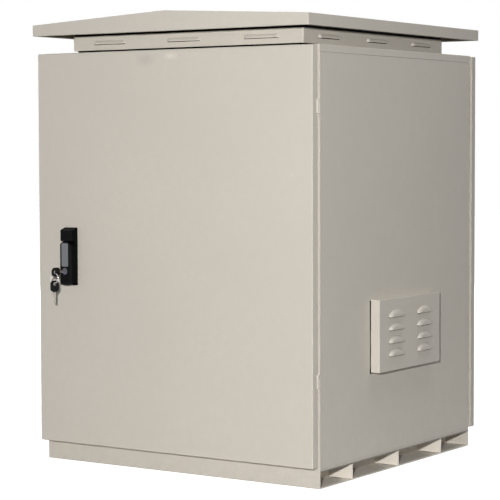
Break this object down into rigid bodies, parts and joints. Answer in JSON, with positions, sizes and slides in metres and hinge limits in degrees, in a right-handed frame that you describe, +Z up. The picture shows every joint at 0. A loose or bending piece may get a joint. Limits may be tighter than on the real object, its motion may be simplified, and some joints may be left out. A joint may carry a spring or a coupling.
{
  "type": "outdoor data cabinet",
  "caption": "Free-standing outdoor data cabinet with hinged front and rear doors, swing handles, a louvred collar under a gable roof and a vented side hood.",
  "frame": {"origin": "on the floor under the middle of the body, at the centre of the anchor slots", "axes": "+Z up, the front door faces -Y, +X to the right seen from the front"},
  "size_m": [0.836, 0.8933, 1.0985],
  "materials": {
    "painted_sheet": "fine textured powder coat",
    "dark_coat": "matt black primer",
    "zinc_steel": "zinc plated",
    "black_handle": "satin",
    "grey_strip": "satin",
    "lock_metal": "polished",
    "black_rubber": "matte",
    "filter_fabric": "matte",
    "fan_plastic": "satin",
    "key_body": "satin bow, plated blade"
  },
  "bodies": {
    "cabinet": {"base_tray": "painted_sheet", "cable_grommets": "black_rubber", "canopy_fasteners": "zinc_steel", "fan_frames": "fan_plastic", "filter_mat": "filter_fabric", "frame_tubes": "zinc_steel", "front_frame": "painted_sheet", "front_hinge_body_leaves": "painted_sheet", "front_hinge_pins": "zinc_steel", "gland_plate": "zinc_steel", "plinth_front_panel": "painted_sheet", "plinth_gussets": "painted_sheet", "plinth_rear_panel": "painted_sheet", "plinth_side_left": "painted_sheet", "plinth_side_right": "painted_sheet", "rack_rails": "zinc_steel", "rear_frame": "painted_sheet", "rear_hinge_body_leaves": "painted_sheet", "rear_hinge_pins": "zinc_steel", "roof_canopy": "painted_sheet", "roof_collar": "painted_sheet", "roof_frame": "dark_coat", "roof_seal": "black_rubber", "side_panel_left": "painted_sheet", "side_panel_right": "painted_sheet", "top_cover": "painted_sheet", "vent_hood": "painted_sheet"},
    "front_door": {"front_door_shell": "painted_sheet", "front_door_stiffener": "painted_sheet", "front_door_gasket": "black_rubber", "front_hinge_door_leaves": "painted_sheet", "front_handle_base": "black_handle", "front_rod_guides": "zinc_steel"},
    "front_spindle": {"front_spindle": "zinc_steel"},
    "front_lever": {"front_lever": "black_handle", "front_lever_pin": "zinc_steel", "front_lever_insert": "grey_strip", "front_lock_barrel": "lock_metal"},
    "front_upper_rod": {"front_upper_rod": "zinc_steel"},
    "front_lower_rod": {"front_lower_rod": "zinc_steel"},
    "rear_door": {"rear_door_shell": "painted_sheet", "rear_door_stiffener": "painted_sheet", "rear_door_gasket": "black_rubber", "rear_hinge_door_leaves": "painted_sheet", "rear_handle_base": "black_handle", "rear_rod_guides": "zinc_steel"},
    "rear_spindle": {"rear_spindle": "zinc_steel"},
    "rear_lever": {"rear_lever": "black_handle", "rear_lever_pin": "zinc_steel", "rear_lever_insert": "grey_strip", "rear_lock_barrel": "lock_metal"},
    "rear_upper_rod": {"rear_upper_rod": "zinc_steel"},
    "rear_lower_rod": {"rear_lower_rod": "zinc_steel"},
    "front_key": {"front_lock_plug": "lock_metal", "door_key": "key_body"},
    "key_ring": {"key_ring": "lock_metal"},
    "spare_key": {"spare_key": "key_body"},
    "rear_lock_plug": {"rear_lock_plug": "lock_metal"},
    "fan_rotor_front": {"fan_rotor_front": "fan_plastic"},
    "fan_rotor_rear": {"fan_rotor_rear": "fan_plastic"}
  },
  "joints": [
    {"name": "front_door_swing", "type": "hinge", "parent": "cabinet", "child": "front_door", "pos_m": [0.396, -0.3725, 0.5], "axis": [0, 0, 1], "range_deg": [0, 120]},
    {"name": "front_handle_turn", "type": "hinge", "parent": "front_door", "child": "front_spindle", "pos_m": [-0.3, -0.4, 0.5313], "axis": [0, -1, 0], "range_deg": [0, 90]},
    {"name": "front_lever_lift", "type": "hinge", "parent": "front_spindle", "child": "front_lever", "pos_m": [-0.3, -0.41315, 0.54145], "axis": [-1, 0, 0], "range_deg": [0, 35]},
    {"name": "front_upper_rod_slide", "type": "slide", "parent": "front_door", "child": "front_upper_rod", "axis": [0, 0, 1], "range_m": [-0.0199, 0]},
    {"name": "front_lower_rod_slide", "type": "slide", "parent": "front_door", "child": "front_lower_rod", "axis": [0, 0, 1], "range_m": [0, 0.0199]},
    {"name": "rear_door_swing", "type": "hinge", "parent": "cabinet", "child": "rear_door", "pos_m": [-0.396, 0.3725, 0.5], "axis": [0, 0, 1], "range_deg": [0, 120]},
    {"name": "rear_handle_turn", "type": "hinge", "parent": "rear_door", "child": "rear_spindle", "pos_m": [0.3, 0.4, 0.5313], "axis": [0, 1, 0], "range_deg": [0, 90]},
    {"name": "rear_lever_lift", "type": "hinge", "parent": "rear_spindle", "child": "rear_lever", "pos_m": [0.3, 0.41315, 0.54145], "axis": [1, 0, 0], "range_deg": [0, 35]},
    {"name": "rear_upper_rod_slide", "type": "slide", "parent": "rear_door", "child": "rear_upper_rod", "axis": [0, 0, 1], "range_m": [-0.0199, 0]},
    {"name": "rear_lower_rod_slide", "type": "slide", "parent": "rear_door", "child": "rear_lower_rod", "axis": [0, 0, 1], "range_m": [0, 0.0199]},
    {"name": "key_turn", "type": "hinge", "parent": "front_lever", "child": "front_key", "pos_m": [-0.3, -0.42, 0.4755], "axis": [0, -1, 0], "range_deg": [0, 90]},
    {"name": "rear_lock_turn", "type": "hinge", "parent": "rear_lever", "child": "rear_lock_plug", "pos_m": [0.3, 0.42, 0.4755], "axis": [0, 1, 0], "range_deg": [0, 90]},
    {"name": "ring_swing", "type": "hinge", "parent": "front_key", "child": "key_ring", "pos_m": [-0.3, -0.4606, 0.4727], "axis": [1, 0, 0], "range_deg": [-45, 20]},
    {"name": "spare_key_swing", "type": "hinge", "parent": "key_ring", "child": "spare_key", "pos_m": [-0.3, -0.4606, 0.4495], "axis": [1, 0, 0], "range_deg": [-45, 20]},
    {"name": "fan_front_spin", "type": "hinge", "parent": "cabinet", "child": "fan_rotor_front", "pos_m": [0.38, -0.06, 0.33], "axis": [1, 0, 0], "continuous": true},
    {"name": "fan_rear_spin", "type": "hinge", "parent": "cabinet", "child": "fan_rotor_rear", "pos_m": [0.38, 0.08, 0.33], "axis": [1, 0, 0], "continuous": true}
  ],
  "couplings": [
    {"joint": "front_upper_rod_slide", "follows": "front_handle_turn", "m_per_rad": -0.012604},
    {"joint": "front_lower_rod_slide", "follows": "front_handle_turn", "m_per_rad": 0.012604},
    {"joint": "rear_upper_rod_slide", "follows": "rear_handle_turn", "m_per_rad": -0.012604},
    {"joint": "rear_lower_rod_slide", "follows": "rear_handle_turn", "m_per_rad": 0.012604}
  ]
}
